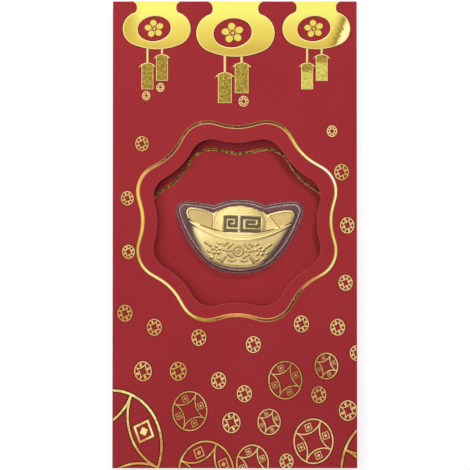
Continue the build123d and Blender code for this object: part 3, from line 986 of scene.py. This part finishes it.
ROSETTE_REACH, ROSETTE_PETAL = 1.3, (0.85, 0.66)


def hull_strokes():
    """The raised lines on the hull with their half widths: a coin and ribbons."""
    strokes = []
    for reach, sides, half in HULL_RINGS:
        outline = ring(reach, reach, sides) + HULL_COIN
        strokes.append((np.vstack([outline, outline[:1]]), half))
    for half, *points in HULL_LINES:
        for side in (-1, 1):
            strokes.append((np.array(points) * (side, 1) + HULL_COIN, half))
    return strokes


def hull_domes():
    """Middle, half length, half width and turn of each petal, leaf and lozenge on the hull."""
    x, y = HULL_COIN
    domes = [(x + side * across, y + up, long, wide, side * turn)
             for side in (-1, 1) for across, up, long, wide, turn in HULL_LEAVES]
    for middle in ROSETTES:
        domes.append((*middle, ROSETTE_EYE, ROSETTE_EYE, 0))
        for turn in range(18, 378, 72):
            spot = turned((ROSETTE_REACH, 0), turn) + middle
            domes.append((*spot, *ROSETTE_PETAL, turn))
    return domes


def stroke_distance(x, y, path):
    """Distance from each point to a drawn line."""
    best = np.full(x.shape, 1e9)
    for (ax, ay), (bx, by) in zip(path, path[1:]):
        dx, dy = bx - ax, by - ay
        share = np.clip(((x - ax) * dx + (y - ay) * dy) / (dx * dx + dy * dy), 0, 1)
        best = np.minimum(best, np.hypot(x - ax - share * dx, y - ay - share * dy))
    return best


def rise(value, low, high):
    """Smooth step from 0 at low to 1 at high."""
    share = np.clip((value - low) / (high - low), 0, 1)
    return share * share * (3 - 2 * share)


def rounded_fall(share):
    """Fall of a rounded edge: 1 at its rim, 0 at a share of 1 and beyond."""
    return 1 - np.sqrt(1 - (1 - np.clip(share, 0, 1)) ** 2)


def deck_face(x, y, edge):
    """Height of the deck and its wings, and where the wings' faces are sunk."""
    left, right, slant = WING_FACES
    inward = np.where(x < 0, left - x, x + slant * y - right)
    sunk = rise(edge, 0.75, 1.05) * rise(inward, -0.2, 0.2)
    bank = rise(np.abs(x), 8.8, 10.5) * (1 - np.clip(edge / 0.95, 0, 1))
    deck = DECK + DECK_RISE * rise(np.abs(x), 8.5, 17)
    return deck - WING_SUNK * sunk - WING_BANK * bank, sunk > 0.5


def mound_face(x, y, ingot):
    """Height of the mound with its fine lines and its fret, and where the fret is sunk."""
    reach = sum(((value - middle) / half) ** 2
                for value, middle, half in zip((x, y), MOUND_MIDDLE, MOUND_REACH))
    swell = (ingot.mound_height / MM - MOUND_FOOT) * np.maximum(1 - reach, 0) ** 0.42
    lines = np.cos((y - 0.012 * x ** 2) * math.tau / FINE_LINE) * rise(y, 5.0, 7.0)
    away = np.minimum(*[stroke_distance(x, y, path) for path in FRET])
    sunk = 1 - rise(away, FRET_LINE / 2 - FRET_SOFT, FRET_LINE / 2 + FRET_SOFT)
    mound = MOUND_FOOT + swell + FINE_LINE_STAND * lines * (reach < 0.9)
    return mound - ingot.mark_depth / MM * sunk, sunk > 0.5


def hull_face(x, y, edge, ingot):
    """Height of the swelling hull with its ornament, and the hollow round the ornament, where
    shade is painted.
    """
    hull = ingot.hull_height / MM - HULL_CROWN * x ** 2
    hull -= BELLY - np.sqrt(BELLY ** 2 - np.clip(y - 0.5, -16, 0) ** 2)
    raised, clear = np.zeros(x.shape), np.full(x.shape, 1e9)
    for path, half in hull_strokes():
        away = stroke_distance(x, y, path)
        raised = np.maximum(raised, 1 - rise(away, 0, half))
        clear = np.minimum(clear, away - half)
    for centre_x, centre_y, long, wide, turn in hull_domes():
        local = turned(np.stack([x - centre_x, y - centre_y], axis=-1), -turn)
        away = np.hypot(local[..., 0] / long, local[..., 1] / wide)
        raised = np.maximum(raised, 1 - rise(away, 0, 1))
        clear = np.minimum(clear, (away - 1) * wide)
    left, right = rise(-x, 3, 11) * (1 - 0.6 * rise(-y, 3.5, 7.5)), rise(x, 4, 12)
    flank = rounded_fall(edge / (1.2 + 2.2 * left + 0.8 * right))
    hull -= ingot.flank_drop / MM * (0.25 + 0.75 * left + 0.2 * right) * flank
    return hull + ingot.relief_height / MM * raised, (clear > -0.12) & (clear < 0.14)


def ingot_face(x, y, edge, ingot):
    """Height of the ingot's face, and the finish there: 0 gilt, 1 matt, 2 fret, 3 hollow in
    painted shade.
    """
    span = np.clip(np.abs(x) / RIM_ENDS[0], 0, 1) ** 2
    top = RIM_TOP + (RIM_ENDS[1] - RIM_TOP) * span
    foot = RIM_FOOT + (RIM_ENDS[1] - RIM_TAPER - RIM_FOOT) * span
    deck, matt = deck_face(x, y, edge)
    mound, fret = mound_face(x, y, ingot)
    hull, hollow = hull_face(x, y, edge, ingot)
    kinds = np.select([hollow & (y < foot - 0.6), fret & (mound > deck), matt & (y > top + 0.35)],
                      [3, 2, 1])

    share = np.clip((y - foot) / np.maximum(top - foot, 0.2), 0, 1)
    crest = ingot.hull_height / MM - RIM_CROWN * x ** 2
    bead = ingot.rim_stand / MM * np.clip((top - foot) / (RIM_TOP - RIM_FOOT), 0.25, 1)
    for place, width, stand in RIM_BEADS:
        crest += bead * stand * np.exp(-((share - place) / width) ** 2)
    above, below = rise(y, top - 0.1, top + 0.55), 1 - rise(y, foot - 0.7, foot + 0.15)
    upper = crest * (1 - above) + np.maximum(deck, mound) * above
    height = upper * (1 - below) + hull * below
    return height - EDGE_DROP * rounded_fall(edge / EDGE_REACH), kinds


class PACKET_OT_ingot(bpy.types.Operator):
    """Makes the gilt ingot: hull with ornament, rim, two wings and a mound with a fret"""
    bl_idname = "packet.ingot"
    bl_label = "Ingot"

    def execute(self, context):
        ingot = context.scene.packet_ingot
        outline = boat(INGOT_SIZE, INGOT_SHARES, INGOT_STEPS)
        drop = -outline[:, 1]
        lean = rise(drop, *HULL_LEAN_TOP) * (1 - rise(drop, *HULL_LEAN_FOOT))
        outline[:, 0] -= HULL_LEAN * lean
        right, left = int(np.argmax(outline[:, 0])), int(np.argmin(outline[:, 0]))
        upper = outline[right:left + 1][::-1]
        lower = np.concatenate([outline[left:], outline[:right + 1]])
        turns = np.linspace(-TIP_SHARE, TIP_SHARE, ingot.columns + 1) * math.pi / 2
        across = outline[right, 0] * np.sin(turns)
        y_high = np.interp(across, upper[:, 0], upper[:, 1])
        y_low = np.interp(across, lower[:, 0], lower[:, 1])
        up = np.linspace(0, 1, ingot.rows + 1)[:, None]
        y = y_low + up * (y_high - y_low)
        x = np.broadcast_to(across, y.shape)
        edge = stroke_distance(x, y, np.vstack([outline, outline[:1]]))
        edge[0], edge[-1] = 0, 0
        z, kinds = ingot_face(x, y, edge, ingot)

        build = Build()
        base = BLISTER_LOW[2]
        rows = []
        for row in range(ingot.rows + 1):
            flat = turned(np.stack([x[row], y[row]], axis=1), INGOT_TILT) + INGOT_PLACE
            rows.append(build.loop(flat, base + z[row]))
        for row, (low, high) in enumerate(zip(rows, rows[1:])):
            for column in range(ingot.columns):
                corner = (low[column], low[column + 1], high[column + 1], high[column])
                votes = kinds[row:row + 2, column:column + 2].ravel()
                build.face(corner, int(np.bincount(votes).argmax()))
        rim = rows[0] + [row[-1] for row in rows[1:-1]] + rows[-1][::-1]
        rim += [row[0] for row in rows[-2:0:-1]]
        points = np.array([build.points[i][:2] for i in rim])
        foot = build.loop(points, base)
        build.bridge(foot, rim)
        build.cap([foot], False)
        mount(build.mesh("ingot_form", smooth=True), self.finishes(ingot), "insert",
              ("ingot",))
        return {"FINISHED"}

    @staticmethod
    def finishes(ingot):
        """Bright gilding with a painted highlight on the left and on the high points, matt gilding
        on the wings, a dark colour in the fret and painted shade in the hollows.
        """

        def gilt(matt=False, hollow=False):
            def surface(start):
                place = place_mm(start)
                fine, patch = place.noise(3.0, 4, 0.6), place.noise(0.35, 1)
                tone = (patch * 0.5 + fine * 0.5).step(0.2, 0.6)
                # The hollows round the ornament are darker as painted shade
                if hollow:
                    body = tone.mix(ingot.hollow, ingot.deep)
                elif matt:
                    body = (tone * 0.5).mix(ingot.deep, ingot.gilt)
                else:
                    # Painted highlight: paler gilt towards the left and on the high points
                    left, high = 0 - place.part("X"), place.part("Z") - BLISTER_LOW[2]
                    painted_highlight = left.step(5, 16) * 0.4 + high.step(3.95, 4.4) * 0.5
                    body = painted_highlight.mix(tone.mix(ingot.deep, ingot.gilt), ingot.painted_highlight)
                return {"Base Color": body, "Roughness": (0.40 if matt else 0.08) + fine * 0.08,
                        "Normal": relief(start, fine if matt else patch, ingot.grain_depth / MM)}

            return surface

        # The sunk fret is coloured dark
        def fill(start):
            tone = place_mm(start).noise(2.2, 3) * 0.2
            return {"Base Color": tone.mix(ingot.mark, ingot.deep), "Roughness": 0.45}

        return (finish("gilt", gilt(), {"Metallic": 1.0}),
                finish("matt_gilt", gilt(matt=True), {"Metallic": 1.0}),
                finish("fret_fill", fill, {"Specular IOR Level": 0.2}),
                finish("hollow_gilt", gilt(hollow=True), {"Metallic": 1.0}))


class PACKET_OT_blister(bpy.types.Operator):
    """Makes the clear blister with its drawn dome and the flange behind the card"""
    bl_idname = "packet.blister"
    bl_label = "Blister"

    def execute(self, context):
        blister = context.scene.packet_blister
        wall, draft = blister.wall / MM, blister.draft / MM
        shoulder, crown = blister.shoulder / MM, blister.crown / MM
        base, top = BLISTER_LOW[2], BLISTER_HIGH[2]
        outline = boat(BLISTER_SIZE, BLISTER_SHARES, BLISTER_STEPS)
        build = Build()

        def skin(inset, lower):
            """Loops from the foot of the wall to the middle of the top."""
            loops = []
            bend = top - crown - lower - shoulder
            steps = [(0, base), (0.5 * draft, 0.5 * (base + bend)), (draft, bend)]
            for turn in np.linspace(0.15, 0.5, 6) * math.pi:
                steps.append((draft + shoulder * (1 - math.cos(turn)),
                              bend + shoulder * math.sin(turn)))
            for lean, z in steps:
                loops.append(build.loop(drawn_in(outline, inset + lean) + BLISTER_PLACE, z))
            rim = drawn_in(outline, inset + draft + shoulder)
            for share in (0.85, 0.6, 0.3, 0.08):
                z = top - lower - crown * share ** 2
                loops.append(build.loop(rim * share + BLISTER_PLACE, z))
            for index, (low, high) in enumerate(zip(loops, loops[1:])):
                build.bridge(low, high, int(index < len(steps) - 1))
            build.cap([loops[-1]], True)
            return loops[0]

        build.bridge(skin(wall, wall)[::-1], skin(0, 0)[::-1], 1)
        reach = np.array(BLISTER_SIZE) / 2 + blister.flange / MM
        flange = rounded(rectangle(-reach, reach), (FLANGE_CORNER,) * 4, FLANGE_STEPS)
        build.plate([flange + BLISTER_PLACE, (outline + BLISTER_PLACE)[::-1]],
                    [(0, base), (0, base + wall)])
        mount(build.mesh("blister_dome", smooth=True), self.finishes(blister), "insert",
              ("blister",))
        return {"FINISHED"}

    @staticmethod
    def finishes(blister):
        """Clear sheet with a faint gloss, and the hazy wall with painted highlights along its
        bends and at its right tip.
        """

        def top(start):
            haze = place_mm(start).noise(0.5, 3)
            gloss = start.node("ShaderNodeFresnel", None, {"IOR": blister.ior})
            return {"Roughness": 0.03 + haze * 0.05, "Alpha": gloss + haze * 0.02}

        def wall(start):
            place = place_mm(start)
            z = place.part("Z")
            # Painted highlights: pale lines along the foot and the top bend of the wall, stronger
            # in random patches and towards the right tip
            patch = place.noise(0.25, 2).step(0.30, 0.62)
            tip = place.part("X").hump(BLISTER_PLACE[0] + BLISTER_SIZE[0] / 2, TIP_SPREAD)
            foot = z.hump(INSERT_FACE + FOOT_LINE, FOOT_SPREAD) * 0.8
            bend = z.hump(BLISTER_HIGH[2] - BEND_LINE, BEND_SPREAD)
            foot_highlight = 0.34 + 0.46 * patch + 0.30 * tip
            bend_highlight = 0.06 + 0.30 * patch + 0.3 * tip
            return {"Base Color": (foot + bend).mix(blister.haze, blister.bend),
                    "Alpha": 0.22 + foot * foot_highlight + bend * bend_highlight,
                    "Roughness": 0.06 + place.noise(0.8, 2) * 0.08}

        clear = finish("clear_sheet", top, {"Base Color": blister.sheet, "Metallic": 1.0})
        return clear, finish("drawn_wall", wall, {"Specular IOR Level": 0.3})


class PACKET_OT_trim(bpy.types.Operator):
    """Gives the gum strip and the backing board their finish"""
    bl_idname = "packet.trim"
    bl_label = "Gum and board"

    def execute(self, context):
        trim = context.scene.packet_trim

        def gum(start):
            place = place_mm(start)
            crackle, streak = place.noise(1.2, 4), place.noise(0.2, 2)
            body = (crackle * 0.5 + streak * 0.5).mix(trim.gum_dark, trim.gum_pale)
            return {"Base Color": body, "Roughness": 0.12 + crackle * 0.3,
                    "Normal": relief(start, crackle, trim.grain_depth / MM)}

        def board(start):
            place = place_mm(start)
            fibre = place.noise(1.6, 5, 0.65)
            fleck = place.noise(3.1, 2).step(0.66, 0.74)
            body = fibre.step(0.3, 0.7).mix(trim.board_dark, trim.board_pale)
            body = (fleck * 0.5).mix(body, trim.fleck)
            # The red lining under the blister, darkened as painted shade of the ingot and the wall
            lined = place.part("Z").step(BOARD_FACE - 0.06, BOARD_FACE - 0.03)
            lining = fibre.mix(trim.shaded_lining_dark, trim.shaded_lining_pale)
            return {"Base Color": lined.mix(body, lining), "Roughness": 0.75 + fibre * 0.2,
                    "Normal": relief(start, fibre, trim.grain_depth / MM)}

        dress(["flap_gum_strip"], finish("dry_gum", gum))
        dress(["blister_backing"], finish("grey_board", board, {"Specular IOR Level": 0.25}))
        return {"FINISHED"}


# Stage

LAMPS = (  # place and size in metres, and the setting that holds the power
    ("key_lamp", (0.12, 0.36, 0.42), 0.12, "key"), ("fill_lamp", (-0.15, 0.0, 0.33), 0.28, "fill"))
CAMERA_AIM = (0.07, -0.28)
FLOOR_REACH, FLOOR_GAP = 1500, 0.05
SKY_LEAN, SKY_LEAST = (-0.5, 0.45), 0.2
SKY_STOPS = (  # mirrored sky by height, from the horizon to overhead
    (0.00, (0.32, 0.32, 0.32)), (0.35, (0.18, 0.18, 0.18)), (0.60, (0.48, 0.48, 0.48)),
    (0.85, (0.90, 0.90, 0.90)), (1.00, (0.98, 0.98, 0.98)))
SKY_PANELS = (  # panels in the mirrored sky: middle and half size across and along, level
    (-0.10, 0.55, 0.52, 0.36, 0.65), (-0.32, 0.10, 0.04, 0.24, 0.55),
    (-0.80, 0.30, 0.0, 0.7, -0.42), (0.40, 0.36, -0.42, 0.46, -0.32),
    (0.80, 0.06, 0.2, 0.5, 1.2), (0.05, 0.50, -0.60, 0.28, 0.34), (0.33, 0.17, 0.20, 0.22, 0.40))


class PACKET_OT_stage(bpy.types.Operator):
    """Sets up the white floor, the soft lamps, the sky and the camera"""
    bl_idname = "packet.stage"
    bl_label = "Stage"

    def execute(self, context):
        stage = context.scene.packet_stage
        scene = context.scene
        scene.view_settings.view_transform = "Standard"
        for name, spot, size, power in LAMPS:
            lamp = bpy.data.lights.new(name, "AREA")
            lamp.size, lamp.energy = size, getattr(stage, power)
            holder = bpy.data.objects.new(name, lamp)
            holder.location = spot
            holder.visible_glossy = holder.visible_transmission = False
            holder.rotation_euler = (-Vector(spot)).to_track_quat("-Z", "Y").to_euler()
            scene.collection.objects.link(holder)
        self.sky(scene, stage)
        self.floor(scene, stage)
        self.camera(scene, stage)
        return {"FINISHED"}

    @staticmethod
    def sky(scene, stage):
        world = bpy.data.worlds.new("studio")
        world.use_nodes = True
        scene.world = world
        tree = world.node_tree
        start = Tone(tree)
        camera, mirror, through = (start.node("ShaderNodeLightPath", out=name) for name in (
            "Is Camera Ray", "Is Glossy Ray", "Is Transmission Ray"))
        towards = start.node("ShaderNodeTexCoord", out="Generated")
        x, y, height = towards.part("X"), towards.part("Y"), towards.part("Z")
        even = start.node("ShaderNodeValToRGB", {"stops": SKY_STOPS}, {0: height}).part("X")
        lean = 1 + SKY_LEAN[0] * x + SKY_LEAN[1] * y
        seen = even * lean.math("MAXIMUM", lean, SKY_LEAST)
        for x_middle, x_half, y_middle, y_half, panel in SKY_PANELS:
            seen += x.hump(x_middle, x_half) * y.hump(y_middle, y_half) * panel
        seen = start.node("ShaderNodeCombineXYZ", None, {0: seen, 1: seen, 2: seen})
        soft = height.step(-0.1, 0.1).mix((stage.bounce,) * 3, (stage.sky,) * 3)
        lit = mirror.math("MAXIMUM", mirror, through).mix(soft, seen)
        whole = camera.mix(lit, (1, 1, 1))
        connect(tree, tree.nodes["Background"].inputs["Color"], whole)

    @staticmethod
    def floor(scene, stage):
        mesh = bpy.data.meshes.new("floor")
        corners = rectangle((-FLOOR_REACH,) * 2, (FLOOR_REACH,) * 2) * MM
        z = CAD_BOX[0][2] - FLOOR_GAP * MM
        mesh.from_pydata([(*corner, z) for corner in corners], [], [(0, 1, 2, 3)])
        floor = bpy.data.objects.new("floor", mesh)
        scene.collection.objects.link(floor)

        def surface(start):
            cloud = place_mm(start).noise(0.004, 2)
            body = cloud.mix((stage.floor_dark,) * 3, (stage.floor_pale,) * 3)
            return {"Base Color": body, "Roughness": 0.9}

        material = finish("white_floor", surface, {
            "Emission Color": (1, 1, 1), "Emission Strength": stage.glow})
        tree = material.node_tree
        start = Tone(tree)
        shader = Tone(tree, tree.nodes["Principled BSDF"].outputs[0])
        clear = start.node("ShaderNodeBsdfTransparent")
        below = start.node("ShaderNodeNewGeometry", out="Backfacing")
        whole = start.node("ShaderNodeMixShader", None, {0: below, 1: shader, 2: clear})
        connect(tree, tree.nodes["Material Output"].inputs["Surface"], whole)
        mesh.materials.append(material)
        floor.visible_shadow = floor.visible_diffuse = False

    @staticmethod
    def camera(scene, stage):
        lens = bpy.data.cameras.new("camera")
        lens.lens = lens.sensor_width * stage.distance / stage.view_width
        camera = bpy.data.objects.new("camera", lens)
        aim = Vector((*CAMERA_AIM, FRONT_HIGH[2])) * MM
        away = Vector((0, -math.sin(stage.tilt), math.cos(stage.tilt)))
        camera.location = aim + stage.distance * away
        camera.rotation_euler = (stage.tilt, 0, stage.roll)
        scene.collection.objects.link(camera)
        scene.camera = camera


SETTINGS = (("packet_card", CardSettings), ("packet_foil", FoilSettings),
            ("packet_ingot", IngotSettings), ("packet_blister", BlisterSettings),
            ("packet_trim", TrimSettings), ("packet_stage", StageSettings))
OPERATORS = (PACKET_OT_card, PACKET_OT_borders, PACKET_OT_foil, PACKET_OT_emblems,
             PACKET_OT_coins, PACKET_OT_ingot, PACKET_OT_blister, PACKET_OT_trim, PACKET_OT_stage)


class PACKET_PT_sidebar(bpy.types.Panel):
    """Lists the settings and pieces of the envelope"""
    bl_idname = "PACKET_PT_sidebar"
    bl_label = "Gift envelope"
    bl_space_type = "VIEW_3D"
    bl_region_type = "UI"
    bl_category = "Envelope"

    def draw(self, context):
        for operator in OPERATORS:
            self.layout.operator(operator.bl_idname)
        for name, group in SETTINGS:
            box = self.layout.box()
            box.label(text=group.__doc__)
            for key in group.__annotations__:
                box.prop(getattr(context.scene, name), key)


def register():
    for name, group in SETTINGS:
        bpy.utils.register_class(group)
        setattr(bpy.types.Scene, name, PointerProperty(type=group))
    for kind in (*OPERATORS, PACKET_PT_sidebar):
        bpy.utils.register_class(kind)


def unregister():
    for kind in (PACKET_PT_sidebar, *reversed(OPERATORS)):
        bpy.utils.unregister_class(kind)
    for name, group in reversed(SETTINGS):
        delattr(bpy.types.Scene, name)
        bpy.utils.unregister_class(group)


def main():
    register()
    for operator in OPERATORS:
        group, name = operator.bl_idname.split(".")
        getattr(getattr(bpy.ops, group), name)()


if __name__ == "__main__":
    main()
